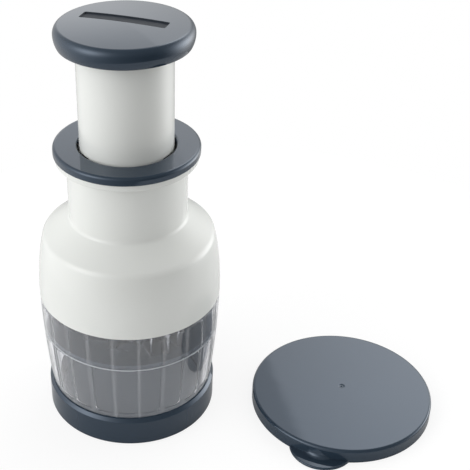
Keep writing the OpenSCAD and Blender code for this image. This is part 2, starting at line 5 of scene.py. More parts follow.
import bmesh
import bpy
import numpy as np
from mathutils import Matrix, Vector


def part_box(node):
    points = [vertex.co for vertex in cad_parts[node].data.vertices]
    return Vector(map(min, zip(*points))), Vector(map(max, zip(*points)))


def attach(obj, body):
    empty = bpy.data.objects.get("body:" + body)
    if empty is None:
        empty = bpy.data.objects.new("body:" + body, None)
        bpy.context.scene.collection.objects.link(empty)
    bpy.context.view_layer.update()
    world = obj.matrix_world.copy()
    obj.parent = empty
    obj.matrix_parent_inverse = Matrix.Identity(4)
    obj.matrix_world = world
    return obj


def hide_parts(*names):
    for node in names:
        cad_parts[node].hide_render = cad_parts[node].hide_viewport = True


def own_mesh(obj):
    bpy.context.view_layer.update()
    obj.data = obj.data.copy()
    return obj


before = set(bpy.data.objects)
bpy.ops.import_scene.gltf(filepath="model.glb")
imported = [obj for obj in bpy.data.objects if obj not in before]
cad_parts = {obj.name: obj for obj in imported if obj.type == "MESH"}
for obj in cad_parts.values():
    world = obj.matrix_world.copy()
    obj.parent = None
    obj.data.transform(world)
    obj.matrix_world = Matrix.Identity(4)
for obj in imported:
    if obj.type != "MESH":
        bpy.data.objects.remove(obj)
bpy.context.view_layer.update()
mm = 0.001
fullTurn = 2 * pi
scene = bpy.context.scene
scene.view_settings.view_transform = "Standard"
print("frame loaded with", len(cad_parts), "nodes")


def levels(node):  # lowest and highest level of a CAD node
    low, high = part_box(node)
    return low.z / mm, high.z / mm


def reach(node):  # largest radius of a CAD node round the main axis
    low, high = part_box(node)
    return max(high.x, -low.x, high.y, -low.y) / mm


# Materials


def linear(rgb):  # colour 0-255 to the linear one that a socket takes, by the sRGB curve
    c = np.array(rgb, float) / 255
    out = np.where(c <= 0.04045, c / 12.92, ((c + 0.055) / 1.055) ** 2.4)
    return (*(float(v) for v in out), 1.0)


# Makes a node: settings are its properties, and the rest are values for its sockets, whose names
# take an underscore for each space
def addNode(tree, kind, settings=None, **sockets):
    made = tree.nodes.new(kind)
    for key, value in (settings or {}).items():
        setattr(made, key, value)
    for key, value in sockets.items():
        made.inputs[key.replace("_", " ")].default_value = value
    return made


# Math node fed by a socket; each value after it is a plain number or another socket
def chain(tree, operation, first, *values):
    made = addNode(tree, "ShaderNodeMath", {"operation": operation})
    tree.links.new(first, made.inputs[0])
    for i, value in enumerate(values, 1):
        if isinstance(value, bpy.types.NodeSocket):
            tree.links.new(value, made.inputs[i])
        else:
            made.inputs[i].default_value = value
    return made.outputs[0]


def blankMaterial(name):  # a material whose tree holds only its output
    material = bpy.data.materials.new(name)
    material.use_nodes = True
    tree = material.node_tree
    tree.nodes.clear()
    return material, tree, tree.nodes.new("ShaderNodeOutputMaterial")


# Noise on object coordinates: size is that of its spots in mm, before it is squeezed along x, y, z
def grain(tree, size, detail, roughness=0.5, squeeze=(1, 1, 1)):
    where = tree.nodes.new("ShaderNodeTexCoord")
    turn = addNode(tree, "ShaderNodeMapping", Scale=squeeze)
    noise = addNode(tree, "ShaderNodeTexNoise", Scale=1000 / size, Detail=detail, Roughness=roughness)
    tree.links.new(where.outputs["Object"], turn.inputs["Vector"])
    tree.links.new(turn.outputs["Vector"], noise.inputs["Vector"])
    return noise.outputs["Fac"]


def between(tree, factor, low, high):  # maps a 0-1 pattern to the range low-high
    spread = addNode(tree, "ShaderNodeMapRange", To_Min=low, To_Max=high)
    tree.links.new(factor, spread.inputs["Value"])
    return spread.outputs["Result"]


def eitherRay(tree, first, second):  # 1 for a ray of one of two kinds, else 0
    path = tree.nodes.new("ShaderNodeLightPath")
    return chain(tree, "MAXIMUM", path.outputs[f"Is {first} Ray"], path.outputs[f"Is {second} Ray"])


def blendShaders(tree, factor, first, second, out):  # factor 0 shows the first, 1 the second
    mix = tree.nodes.new("ShaderNodeMixShader")
    for socket, source in zip(mix.inputs, (factor, first.outputs[0], second.outputs[0])):
        tree.links.new(source, socket)
    tree.links.new(mix.outputs[0], out.inputs["Surface"])


def blendColours(tree, factor, first, second):
    mix = addNode(tree, "ShaderNodeMix", {"data_type": "RGBA"})
    mix.inputs["A"].default_value = first
    mix.inputs["B"].default_value = second
    tree.links.new(factor, mix.inputs["Factor"])
    return mix.outputs["Result"]


def bumpFrom(tree, height, depth, under=None):  # depth in mm; under is a bump that lies below it
    bump = addNode(tree, "ShaderNodeBump", Strength=1.0, Distance=depth * mm)
    tree.links.new(height, bump.inputs["Height"])
    if under is not None:
        tree.links.new(under, bump.inputs["Normal"])
    return bump.outputs["Normal"]


# Sizes in mm of the patterns in moulded plastic, and the roughness of its clear coat
moulding = dict(cloudSize=40, smearSize=6, waveSize=14, grainSize=0.5, coatGloss=0.03)


# Moulded plastic: cloudy colour, uneven gloss, a slow waviness and a fine moulding grain
def plastic(name, dark, light, gloss, coat=0.0, wave=0.02, fine=0.002, specular=0.5,
            glossTint=(255, 255, 255)):
    material, tree, out = blankMaterial(name)
    shader = addNode(tree, "ShaderNodeBsdfPrincipled", Coat_Weight=coat,
                     Coat_Roughness=moulding["coatGloss"], Specular_IOR_Level=specular,
                     Specular_Tint=linear(glossTint))
    clouds = grain(tree, moulding["cloudSize"], detail=3)
    tree.links.new(blendColours(tree, clouds, linear(dark), linear(light)), shader.inputs["Base Color"])
    smear = grain(tree, moulding["smearSize"], detail=4, roughness=0.6)
    tree.links.new(between(tree, smear, *gloss), shader.inputs["Roughness"])
    slow = bumpFrom(tree, grain(tree, moulding["waveSize"], detail=1), wave)
    skin = grain(tree, moulding["grainSize"], detail=2)
    tree.links.new(bumpFrom(tree, skin, fine, under=slow), shader.inputs["Normal"])
    tree.links.new(shader.outputs[0], out.inputs["Surface"])
    return material


# Metal: noise squeezed across the way that its drawn or ground lines run
def metal(name, dark, light, gloss, squeeze, lineSize, depth):
    material, tree, out = blankMaterial(name)
    shader = addNode(tree, "ShaderNodeBsdfPrincipled", Metallic=1.0)
    lines = grain(tree, lineSize, detail=3, squeeze=squeeze)
    tree.links.new(blendColours(tree, lines, linear(dark), linear(light)), shader.inputs["Base Color"])
    tree.links.new(between(tree, lines, *gloss), shader.inputs["Roughness"])
    tree.links.new(bumpFrom(tree, lines, depth), shader.inputs["Normal"])
    tree.links.new(shader.outputs[0], out.inputs["Surface"])
    return material


# Colours are 0-255, gloss is the range of the roughness, wave, fine and depth are bumps in mm
plastics = dict(
    slatePlastic=dict(dark=(37, 49, 61), light=(42, 55, 68), gloss=(0.02, 0.05), coat=0.2,
                      specular=0.6, glossTint=(216, 233, 255)),
    # the etched finish is rough, and its darker colour is painted shade of engraved lettering
    slateEtchedShaded=dict(dark=(26, 35, 45), light=(31, 40, 51), gloss=(0.5, 0.62), fine=0.03, wave=0.01,
                     specular=0.35),
    whitePlastic=dict(dark=(224, 226, 222), light=(230, 232, 229), gloss=(0.14, 0.22), coat=0.1),
    naturalPlastic=dict(dark=(214, 213, 205), light=(224, 223, 216), gloss=(0.42, 0.55), fine=0.004),
    boardPlastic=dict(dark=(72, 80, 90), light=(82, 90, 100), gloss=(0.5, 0.62), fine=0.02, wave=0.01),
    footRubber=dict(dark=(34, 35, 37), light=(42, 43, 45), gloss=(0.7, 0.85), fine=0.03, specular=0.3))
metals = dict(
    turnedSteel=dict(dark=(168, 170, 173), light=(204, 206, 208), gloss=(0.18, 0.34),
                     squeeze=(1, 1, 14), lineSize=4, depth=0.002),
    springSteel=dict(dark=(132, 134, 138), light=(176, 178, 182), gloss=(0.22, 0.4),
                     squeeze=(3, 3, 3), lineSize=1.2, depth=0.004),
    bladeSteel=dict(dark=(196, 199, 202), light=(226, 228, 230), gloss=(0.1, 0.2),
                    squeeze=(8, 8, 0.6), lineSize=3, depth=0.002))
finishes = {name: plastic(name, **values) for name, values in plastics.items()}
finishes.update({name: metal(name, **values) for name, values in metals.items()})
print("materials made:", len(finishes))


# Mesh tools


def unit(v):  # the vector brought to length 1
    return v / np.linalg.norm(v)


def smooth(t):  # 0 to 1 as t goes from 0 to 1, level at both ends
    t = np.clip(t, 0, 1)
    return t * t * (3 - 2 * t)


# Arc of radius r that rounds corner b between a and c: its centre lies on the corner's bisector
def cornerArc(a, b, c, r, steps):
    u, v = unit(a - b), unit(c - b)
    half = np.arccos(np.clip(u @ v, -1, 1)) / 2
    centre = b + unit(u + v) * r / np.sin(half)
    p, q = b + u * r / np.tan(half) - centre, b + v * r / np.tan(half) - centre
    start = np.arctan2(p[1], p[0])
    turn = (np.arctan2(q[1], q[0]) - start + pi) % fullTurn - pi
    angle = start + turn * np.linspace(0, 1, steps + 1)
    return centre + r * np.stack([np.cos(angle), np.sin(angle)], axis=-1)


# Profile through corners (radius, level, rounding), with a support point beside each rounding so
# that flat faces stay flat under smooth shading
def softProfile(corners, closed=True, support=0.12):
    points = np.array([c[:2] for c in corners], float)
    rows = []
    for i, (_, _, rounding) in enumerate(corners):
        a, b, c = points[i - 1], points[i], points[(i + 1) % len(points)]
        if rounding <= 0 or (not closed and i in (0, len(corners) - 1)):
            rows.append(b[None])
            continue
        steps = 5 if rounding < 0.7 else 9
        arc = cornerArc(a, b, c, rounding, steps)
        rows.append(np.vstack([arc[0] + unit(a - b) * support, arc, arc[-1] + unit(c - b) * support]))
    return np.vstack(rows)


# Surface of revolution: grid point (i, j) is profile point j turned to angle i
def turned(profile, segments=192):
    angle = np.linspace(0, fullTurn, segments, endpoint=False)[:, None]
    radius, level = profile[None, :, 0], profile[None, :, 1]
    return np.stack([radius * np.cos(angle), radius * np.sin(angle), level + 0 * angle], axis=-1)


# Quads over a grid of points; rows wrap round, and columns too for a ring
def gridFaces(rows, cols, wrapRows, wrapCols):
    index = np.arange(rows * cols).reshape(rows, cols)
    if wrapRows:
        index = np.vstack([index, index[:1]])
    if wrapCols:
        index = np.hstack([index, index[:, :1]])
    corners = [index[:-1, :-1], index[1:, :-1], index[1:, 1:], index[:-1, 1:]]
    return np.stack(corners, axis=-1).reshape(-1, 4)


# Mesh over a grid of points in mm; rows and columns say whether the last joins the first
def gridMesh(name, points, wrapRows=True, wrapCols=True, sharpAngle=50):
    rows, cols = points.shape[:2]
    mesh = bpy.data.meshes.new(name)
    faces = gridFaces(rows, cols, wrapRows, wrapCols)
    mesh.from_pydata((points.reshape(-1, 3) * mm).tolist(), [], faces.tolist())
    return finishMesh(mesh, sharpAngle)


# Closes seams and poles (weld and speck are in metres), points faces outwards and shades smooth
def finishMesh(mesh, sharpAngle=50, weld=2e-6, speck=1e-7):
    work = bmesh.new()
    work.from_mesh(mesh)
    bmesh.ops.remove_doubles(work, verts=work.verts, dist=weld)
    bmesh.ops.dissolve_degenerate(work, edges=work.edges, dist=speck)
    bmesh.ops.recalc_face_normals(work, faces=work.faces)
    work.to_mesh(mesh)
    work.free()
    mesh.shade_smooth()
    mesh.set_sharp_from_angle(angle=radians(sharpAngle))
    return mesh


# Shows a mesh as a piece on a body, in place of its CAD node; a mesh with finishes keeps them
def addPiece(name, mesh, body, finish, node):
    piece = bpy.data.objects.new(name, mesh)
    scene.collection.objects.link(piece)
    if not mesh.materials:
        mesh.materials.append(finishes[finish])
    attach(piece, body)
    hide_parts(node)
    return piece


def evaluated(holder):  # an object's mesh once its modifiers or its curve are worked out
    bpy.context.view_layer.update()
    graph = bpy.context.evaluated_depsgraph_get()
    return bpy.data.meshes.new_from_object(holder.evaluated_get(graph))


# Applies a Boolean of the mesh with each cutter, and removes the helper objects
def carve(mesh, cutters, operation="DIFFERENCE", sharpAngle=40):
    holder = bpy.data.objects.new("holder", mesh)
    tools = [bpy.data.objects.new("cutter", cutter) for cutter in cutters]
    for helper in (holder, *tools):
        scene.collection.objects.link(helper)
    for tool in tools:
        cut = holder.modifiers.new("cut", "BOOLEAN")
        cut.operation, cut.object, cut.solver = operation, tool, "EXACT"
    result = evaluated(holder)
    result.name = mesh.name
    for helper in (holder, *tools):
        bpy.data.objects.remove(helper)
    return finishMesh(result, sharpAngle)


# Rod along Z at (x, y): a rectangle with softened corners, turned
def rodMesh(name, x, y, radius, low, high, soften=0.1, segments=48):
    profile = softProfile([(0, low, 0), (radius, low, soften), (radius, high, soften), (0, high, 0)],
                          closed=False, support=0.05)
    return gridMesh(name, turned(profile, segments) + [x, y, 0], wrapCols=False)


def moved(grid, x, y, turn=0):  # grid turned about Z and carried to (x, y)
    c, s = np.cos(turn), np.sin(turn)
    return grid @ np.array([[c, s, 0], [-s, c, 0], [0, 0, 1]]) + [x, y, 0]


# Flat plate from closed outlines, the first outside and the rest cut out of it, with soft edges
def plateMesh(name, outlines, low, high, soften, sharpAngle=30):
    flat = bpy.data.curves.new(name, "CURVE")
    flat.dimensions, flat.fill_mode = "2D", "BOTH"
    flat.extrude = (high - low) / 2 * mm - soften * mm
    flat.bevel_depth, flat.bevel_resolution = soften * mm, 2
    flat.offset = -soften * mm
    for outline in outlines:
        spline = flat.splines.new("POLY")
        spline.points.add(len(outline) - 1)
        flatPoints = np.zeros((len(outline), 4))
        flatPoints[:, :2], flatPoints[:, 3] = outline * mm, 1
        spline.points.foreach_set("co", flatPoints.ravel())
        spline.use_cyclic_u = True
    holder = bpy.data.objects.new(name, flat)
    scene.collection.objects.link(holder)
    mesh = evaluated(holder)
    bpy.data.objects.remove(holder)
    spots = np.zeros(len(mesh.vertices) * 3)
    mesh.vertices.foreach_get("co", spots)
    spots[2::3] += (low + high) / 2 * mm
    mesh.vertices.foreach_set("co", spots)
    return finishMesh(mesh, sharpAngle)


def circleOutline(x, y, radius, steps=48):  # points of a circle, evenly spaced
    angle = np.linspace(0, fullTurn, steps, endpoint=False)
    return np.stack([x + radius * np.cos(angle), y + radius * np.sin(angle)], axis=-1)


# Knob: cap with a shallow bar in its top, and the plate that closes it

knobLow, knobTop = levels("knob_cap")
plateLow, plateHigh = levels("knob_plate")
knob = dict(radius=reach("knob_cap"), crown=1.0, rounding=3.1, belly=5.6, taper=1.4, lip=1.2,
            lipRounding=0.6, lipShare=0.25, roof=2.2, roofRounding=1.5, plateSeat=2.2, seatWidth=0.8)
bar = dict(length=43, width=7.6, depth=0.75, rounding=0.9, offset=3.2, shift=-1.3, angle=-20, edge=0.3,
           foot=0.2, above=1.2)


# Height of the crowned top face at a radius: it falls from the middle as the radius squared
def knobFace(radius):
    k = knob
    return knobTop - k["crown"] * (radius / (k["radius"] - k["rounding"])) ** 2


# Outline of a rounded rectangle: four quarter circles joined by straight sides, all with fixed counts
def roundedBar(length, width, rounding, arcSteps=7, sideSteps=(24, 6, 24, 6)):
    quarter = np.linspace(0, pi / 2, arcSteps)
    arc = rounding * np.stack([np.cos(quarter), np.sin(quarter)], axis=-1)
    x, y = length / 2 - rounding, width / 2 - rounding
    back = arc[:, ::-1]
    arcs = [arc + [x, y], back * [-1, 1] + [-x, y], -arc + [-x, -y], back * [1, -1] + [x, -y]]
    sides = [np.linspace(arcs[i][-1], arcs[(i + 1) % 4][0], n)[1:-1] for i, n in enumerate(sideSteps)]
    return np.vstack([part for pair in zip(arcs, sides) for part in pair])


# Cutter for the bar: rings (inset, height above the face) that follow the crowned top face. Its
# skin runs from the middle of its top out to the first ring, down the rings and back to the middle
def barCutter():
    b = bar
    wall = b["edge"] / 2
    rings = [(-b["edge"], b["above"]), (-b["edge"], wall), (wall, -b["edge"]),
             (wall, b["foot"] - b["depth"]), (wall + b["foot"], -b["depth"])]
    loops = [roundedBar(b["length"] - 2 * inset, b["width"] - 2 * inset, b["rounding"] - inset)
             for inset, _ in rings]
    last = len(rings) - 1
    order = [0, 0, *range(len(rings)), last, last, last, last]
    shares = [0, 0.5] + [1] * len(rings) + [0.75, 0.5, 0.25, 0]
    flat = np.stack([loops[i] * share for i, share in zip(order, shares)], axis=1)
    flat = np.dstack([flat + [b["shift"], b["offset"]], 0 * flat[..., :1]])
    skin = moved(flat, 0, 0, radians(b["angle"]))
    rise = np.array([rings[i][1] for i in order])
    skin[..., 2] = knobFace(np.hypot(skin[..., 0], skin[..., 1])) + rise
    return gridMesh("bar", skin, wrapCols=False)


# Cap: crowned face, elliptic quarter down to the widest level, then a parabola in to the lip. The
# floor and walls of the bar take the etched finish: rough, and darker in colour as painted shade of
# engraved lettering
def knobCapMesh():
    k = knob
    lip, rim = k["radius"] - k["taper"], k["radius"] - k["rounding"]
    inner, belly = lip - k["lip"], knobLow + k["belly"]
    rimTop = knobTop - k["crown"]
    seat, roof = knobLow + k["plateSeat"], rimTop - k["roof"]
    radii = np.linspace(0, rim, 32)
    face = np.stack([radii, knobFace(radii)], axis=-1)
    angle = np.linspace(pi / 2, 0, 20)[1:]
    over = np.stack([rim + k["rounding"] * np.cos(angle), belly + (rimTop - belly) * np.sin(angle)],
                    axis=-1)
    share = np.linspace(1, k["lipShare"], 12)[1:]
    under = np.stack([k["radius"] - k["taper"] * (1 - share) ** 2, knobLow + k["belly"] * share],
                     axis=-1)
    inside = softProfile([(*under[-1], 0), (lip, knobLow, k["lipRounding"]), (inner, knobLow, 0.2),
                          (inner, seat, 0.1), (inner - k["seatWidth"], seat, 0.1),
                          (inner - k["seatWidth"], roof, k["roofRounding"]), (0, roof, 0)],
                         closed=False)[1:]
    cap = gridMesh("knobCap", turned(np.vstack([face, over, under, inside]), 240), wrapCols=False)
    cutter = barCutter()
    for mesh in (cap, cutter):
        mesh.materials.append(finishes["slatePlastic"])
        mesh.materials.append(finishes["slateEtchedShaded"])
    # the bar's walls and floor take the etched finish, whose darker colour is painted shade
    cutter.polygons.foreach_set("material_index", np.ones(len(cutter.polygons), dtype=np.int32))
    return carve(cap, [cutter], sharpAngle=35)


plate = dict(rimWidth=1.6, grooveSlope=0.4, grooveStep=0.2, grooveDepth=0.4, grooveInside=25.0,
             hub=14.7, pilot=12.3, pilotStep=1.5, washerSeat=9.0, shaftHole=4.08)


# Plate: a section with a groove below and a stepped hub, turned round the axis
def knobPlateMesh():
    p = plate
    outer = reach("knob_plate")
    rim = outer - p["rimWidth"]
    groove = knobLow + p["grooveDepth"]
    step = plateLow + p["pilotStep"]
    return gridMesh("knobPlate", turned(softProfile([
        (outer, plateHigh, 0.1), (outer, knobLow, 0.4), (rim, knobLow, 0.2),
        (rim - p["grooveSlope"], groove, 0.2), (p["grooveInside"] + p["grooveStep"], groove, 0.2),
        (p["grooveInside"], knobLow, 0.2), (p["hub"], knobLow, 0.3), (p["hub"], step, 0.3),
        (p["pilot"], step, 0.2), (p["pilot"], plateLow, 0.4), (p["washerSeat"], plateLow, 0.2),
        (p["washerSeat"], step, 0.1), (p["shaftHole"], step, 0.1), (p["shaftHole"], plateHigh, 0.1)])))


addPiece("knobCap", knobCapMesh(), "plunger", "slatePlastic", "knob_cap")
addPiece("knobPlate", knobPlateMesh(), "plunger", "slatePlastic", "knob_plate")
print("knob made")

# Plunger tube: flared top, hooks and three slots at its lower end

tubeLow, tubeHigh = levels("plunger_tube")
tube = dict(radius=23.65, wall=1.8, flareRadius=24.55, flareLow=3, flareHigh=0.8, hookHeight=3,
            hookRadius=25.6, hookSlope=1.5, hookInset=0.3, slotWidth=8, slotReach=(8, 30), slotUnder=2,
            slotTop=158.0, bossCircle=19.35, bossRadius=3.1, bossLength=12, bossGap=0.02)
thirds = (90, 210, 330)  # angles of the slots and of the screw bosses in tube and housing
# Corner numbers of a box's six faces
boxFaces = [(0, 1, 3, 2), (4, 6, 7, 5), (0, 4, 5, 1), (2, 3, 7, 6), (0, 2, 6, 4), (1, 5, 7, 3)]


# Tube: its section turned round the axis, cut by three slots and joined to three screw bosses
def tubeMesh():
    t = tube
    inner = t["radius"] - t["wall"]
    shell = gridMesh("plungerTube", turned(softProfile([
        (inner, tubeLow, 0.2), (t["radius"] - t["hookInset"], tubeLow, 0.3),
        (t["hookRadius"], tubeLow + t["hookSlope"], 0.3),
        (t["hookRadius"], tubeLow + t["hookHeight"], 0.2),
        (t["radius"], tubeLow + t["hookHeight"], 0.2), (t["radius"], tubeHigh - t["flareLow"], 1.2),
        (t["flareRadius"], tubeHigh - t["flareHigh"], 0.4), (t["flareRadius"], tubeHigh, 0.15),
        (inner, tubeHigh, 0.15)])))
    half = t["slotWidth"] / 2
    corners = np.array([[x, y, z] for x in t["slotReach"] for y in (-half, half)
                        for z in (tubeLow - t["slotUnder"], t["slotTop"])])
    slots, bosses = [], []
    for angle in np.radians(thirds):
        slot = bpy.data.meshes.new("slot")
        slot.from_pydata((moved(corners, 0, 0, angle) * mm).tolist(), [], boxFaces)
        slots.append(slot)
        x, y = t["bossCircle"] * np.cos(angle), t["bossCircle"] * np.sin(angle)
        bosses.append(rodMesh("boss", x, y, t["bossRadius"], knobLow - t["bossLength"],
                              knobLow - t["bossGap"]))
    return carve(carve(shell, slots), bosses, "UNION")


addPiece("plungerTube", tubeMesh(), "plunger", "whitePlastic", "plunger_tube")
print("plunger tube made")

# Collar ring round the tube

collarLow, collarHigh = levels("collar_ring")
housingLow, housingHigh = levels("housing")
collar = dict(radius=36.95, hole=24.8, skirtRadius=28.35, rounding=1.6, lip=1.0, underRounding=0.4)


# Ring: a flange with a skirt below it, turned round the axis
def collarMesh():
    c = collar
    return gridMesh("collarRing", turned(softProfile([
        (c["hole"], collarLow, 0.3), (c["skirtRadius"], collarLow, 0.3),
        (c["skirtRadius"], housingHigh, 0), (c["radius"], housingHigh, c["underRounding"]),
        (c["radius"], collarHigh, c["rounding"]), (c["hole"], collarHigh, c["lip"])])))


addPiece("collarRing", collarMesh(), "housing", "slatePlastic", "collar_ring")

# Housing: crowned flank, sloping shoulder, neck and flange

housing = dict(seamRadius=48.2, rimOut=0.1, rimBand=2.2, rimWall=1.3, rimBevel=0.25, curve=2.2,
               shoulderRadius=44.7, shoulder=108.6, shoulderRounding=5, flankStop=3.2, wall=2.2,
               neck=118.6, neckRadius=30.6, neckInside=28.4, neckFillet=2.6, flangeRadius=36,
               flangeThick=3.4, spigotTop=80.5, spigotSlope=1.7, screwRadius=32.5, bossRadius=3.1,
               bossLow=111.8, bossBevel=0.25, bossUnder=1.2)


# Radius of the crowned flank at a level: the seam's radius less a power of the height above it
def flank(z):
    low = housingLow + housing["rimBand"]
    share = np.clip((z - low) / (housing["shoulder"] - low), 0, 1)
    rim = housing["seamRadius"] + housing["rimOut"]
    return rim - (rim - housing["shoulderRadius"]) * share ** housing["curve"]


def shoulderSlope():  # rise of the shoulder for each mm towards the neck
    h = housing
    return (h["neck"] - h["shoulder"]) / (h["shoulderRadius"] - h["neckRadius"])


def shoulderLevel(radius):  # level of the shoulder's straight outside at a radius
    return housing["shoulder"] + shoulderSlope() * (housing["shoulderRadius"] - radius)


# Screw boss under the shoulder: its top follows the shoulder's slope, a little below the outside
def bossMesh(turn):
    h = housing
    angle = np.linspace(0, fullTurn, 40, endpoint=False)[:, None]
    radius = h["bossRadius"] * np.array([[0, 0.9, 1, 1, 0]])
    x = h["screwRadius"] + radius * np.cos(angle)
    y = radius * np.sin(angle)
    top = shoulderLevel(np.maximum(np.hypot(x, y), h["neckRadius"])) - h["bossUnder"]
    low = h["bossLow"] + np.array([[0, 0, h["bossBevel"]]])
    level = np.hstack([low + 0 * angle, top[:, 3:]])
    return gridMesh("boss", moved(np.stack([x, y, level], axis=-1), 0, 0, turn), wrapCols=False)


# Shell turned round the axis: up the outside by rim, flank, shoulder, neck and flange, and down the
# inside a wall's thickness away; three screw bosses are joined to it
def housingMesh():
    h = housing
    rimIn, rimOut = h["seamRadius"] - h["rimWall"], h["seamRadius"] + h["rimOut"]
    drop = h["wall"] * np.hypot(1, shoulderSlope())
    flangeLow = housingHigh - h["flangeThick"]
    wallIn = h["shoulderRadius"] - h["wall"]
    rim = softProfile([(rimIn, housingLow, 0), (rimOut, housingLow, h["rimBevel"]),
                       (rimOut, housingLow + h["rimBand"], 0)], closed=False)
    up = np.linspace(housingLow + h["rimBand"], h["shoulder"] - h["flankStop"], 26)
    outside = np.stack([flank(up), up], axis=-1)
    shoulder = softProfile([
        (*outside[-1], 0), (h["shoulderRadius"], h["shoulder"], h["shoulderRounding"]),
        (h["neckRadius"], h["neck"], h["neckFillet"]), (h["neckRadius"], flangeLow, 0.8),
        (h["flangeRadius"], flangeLow, 0.5), (h["flangeRadius"], housingHigh, 0.15),
        (h["neckInside"], housingHigh, 0.15),
        (h["neckInside"], shoulderLevel(h["neckInside"]) - drop, 0.8),
        (wallIn, shoulderLevel(wallIn) - drop, 0)], closed=False)[1:]
    down = np.linspace(h["shoulder"] - h["flankStop"], h["spigotTop"] + h["spigotSlope"], 16)
    inside = np.stack([flank(down) - h["wall"], down], axis=-1)
    step = softProfile([(*inside[-1], 0), (rimIn, h["spigotTop"], 0.2), (rimIn, housingLow, 0)],
                       closed=False)[1:-1]
    shell = gridMesh("housingShell", turned(np.vstack([rim, outside[1:], shoulder, inside, step]), 240))
    return carve(shell, [bossMesh(angle) for angle in np.radians(thirds)], "UNION")


addPiece("housingShell", housingMesh(), "housing", "whitePlastic", "housing")
print("collar and housing made")

# Clear cup: curved flank, ledge, two rows of windows between ribs

cupLow, cupHigh = levels("clear_cup")
cup = dict(seam=72.8, seamRadius=48.2, low=18.0, lowRadius=44.5, curve=1.7, wall=3.2, ledge=51.0,
           spigotOut=46.55, spigotIn=45.35, footOut=43.05, footIn=41.45, footShoulder=17.1,
           ribs=22, ribTurn=15, ribWidth=2.4, ribDepth=0.32, perRib=22, panelDepth=0.28,
           panelRounding=2.6, panelLow=19.2, panelTop=70.6, panelPast=9, slope=1.6)
# Share of cloudiness everywhere, and of the whitish lines along the ledge and down the ribs that
# paint highlights, with the widths of the lines in mm
cupHazeAndHighlights = dict(all=0.07, ledge=0.92, ledgeLine=0.3, ledgeDeep=0.7, rib=0.09, ribLine=1.3)


# How clear the plastic is: a little cloudy all over, and whitish along the ledge, on the inside only,
# and down each rib, where these lines are painted highlights
def cupClearnessAndHighlights(tree):
    c, haze = cup, cupHazeAndHighlights
    parts = tree.nodes.new("ShaderNodeSeparateXYZ")
    tree.links.new(tree.nodes.new("ShaderNodeTexCoord").outputs["Object"], parts.inputs[0])
    x, y, z = parts.outputs
    fromLedge = chain(tree, "ABSOLUTE", chain(tree, "SUBTRACT", z, c["ledge"] * mm))
    ledge = addNode(tree, "ShaderNodeMapRange", From_Min=haze["ledgeLine"] * mm,
                    From_Max=2 * haze["ledgeLine"] * mm, To_Min=-haze["ledge"], To_Max=0.0)
    tree.links.new(fromLedge, ledge.inputs["Value"])
    away = chain(tree, "ADD", chain(tree, "POWER", x, 2), chain(tree, "POWER", y, 2))
    isInside = chain(tree, "LESS_THAN", away, ((c["spigotIn"] + haze["ledgeDeep"]) * mm) ** 2)
    # ledge line: nearly opaque, whitish plastic that paints a bright highlight along the ledge
    line = chain(tree, "MULTIPLY", ledge.outputs["Result"], isInside)
    pitches = chain(tree, "MULTIPLY_ADD", chain(tree, "ARCTAN2", y, x), c["ribs"] / fullTurn,
                    c["ribs"] * (1 - c["ribTurn"] / 360))
    fromPanel = chain(tree, "ABSOLUTE", chain(tree, "SUBTRACT", chain(tree, "FRACT", pitches), 0.5))
    # rib lines: less clear down each rib, so that they show lighter as painted highlights
    share = haze["ribLine"] * c["ribs"] / (fullTurn * c["seamRadius"])
    rib = addNode(tree, "ShaderNodeMapRange", From_Min=0.5 - share, From_Max=0.5,
                  To_Min=1 - haze["all"], To_Max=1 - haze["all"] - haze["rib"])
    tree.links.new(fromPanel, rib.inputs["Value"])
    return chain(tree, "MAXIMUM", chain(tree, "ADD", rib.outputs["Result"], line), 0.0)


# Clear styrene: refracting, a little smoky, with whitish lines along the ledge and ribs that paint
# highlights, and open to light so that what is inside is lit
def clearPlastic(name, tint, shade, gloss):
    material, tree, out = blankMaterial(name)
    glass = addNode(tree, "ShaderNodeBsdfPrincipled", IOR=1.49, Base_Color=linear(tint))
    tree.links.new(cupClearnessAndHighlights(tree), glass.inputs["Transmission Weight"])
    tree.links.new(between(tree, grain(tree, 9, detail=3), *gloss), glass.inputs["Roughness"])
    tree.links.new(bumpFrom(tree, grain(tree, 16, detail=1), 0.03), glass.inputs["Normal"])
    opening = addNode(tree, "ShaderNodeBsdfTransparent", Color=linear(shade))
    blendShaders(tree, eitherRay(tree, "Shadow", "Diffuse"), glass, opening, out)
    return material


finishes["clearPlastic"] = clearPlastic("clearPlastic", tint=(243, 243, 246), shade=(232, 238, 240),
                                        gloss=(0.015, 0.05))


# Radius of the cup's outside at a level: the seam's radius less a power of the depth below it
def cupFlank(z):
    share = np.clip((cup["seam"] - z) / (cup["seam"] - cup["low"]), 0, None)
    return cup["seamRadius"] - (cup["seamRadius"] - cup["lowRadius"]) * share ** cup["curve"]


# Distance outside a rounded rectangle: length of the part beyond its straight core, less the rounding
def outsideBox(x, y, length, width, rounding):
    dx, dy = np.abs(x) - length / 2 + rounding, np.abs(y) - width / 2 + rounding
    corner = np.hypot(np.maximum(dx, 0), np.maximum(dy, 0))
    return corner + np.minimum(np.maximum(dx, dy), 0) - rounding


# How far a point of the inside lies within a panel between two ribs, 0 to 1, from its angle and level
def panelShare(angle, z, low, high):
    pitch = fullTurn / cup["ribs"]
    across = (np.mod(angle - radians(cup["ribTurn"]), pitch) - pitch / 2) * cup["spigotIn"]
    width = pitch * cup["spigotIn"] - cup["ribWidth"]
    edge = outsideBox(z - (low + high) / 2, across, high - low, width, cup["panelRounding"])
    return smooth(0.5 - edge / cup["slope"])


